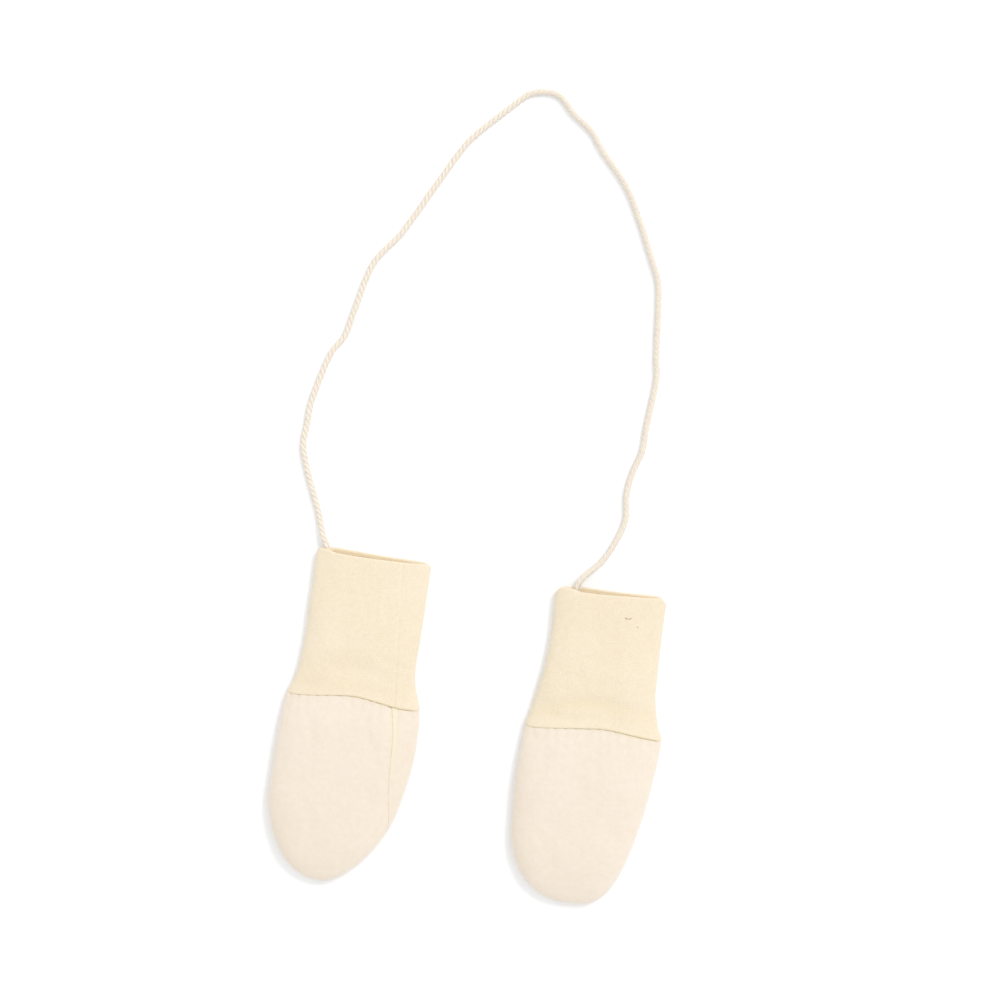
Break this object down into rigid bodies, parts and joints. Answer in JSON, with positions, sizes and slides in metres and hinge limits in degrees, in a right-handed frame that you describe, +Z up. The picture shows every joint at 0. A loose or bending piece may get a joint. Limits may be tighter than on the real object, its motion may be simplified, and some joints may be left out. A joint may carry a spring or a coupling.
{
  "type": "pair of baby mittens",
  "caption": "Pair of thumbless baby mittens in soft fleece with long ribbed cuffs, laid flat and joined by a twisted cord.",
  "frame": {"origin": "centre of the two mittens' outline, seen from above, on the surface they lie on", "axes": "+X across the pair from the left mitten to the right one, +Y from the closed tips towards the cuffs and the cord, +Z up off the surface"},
  "size_m": [0.1794, 0.3671, 0.0124],
  "materials": {
    "fleece": "soft matte fleece with a short nap",
    "rib": "matte fine rib knit",
    "cord": "matte twisted yarn"
  },
  "bodies": {
    "root": {"left_front": "fleece", "left_back": "fleece", "left_cuff": "rib", "right_front": "fleece", "right_back": "fleece", "right_cuff": "rib", "cord": "cord"}
  },
  "joints": []
}
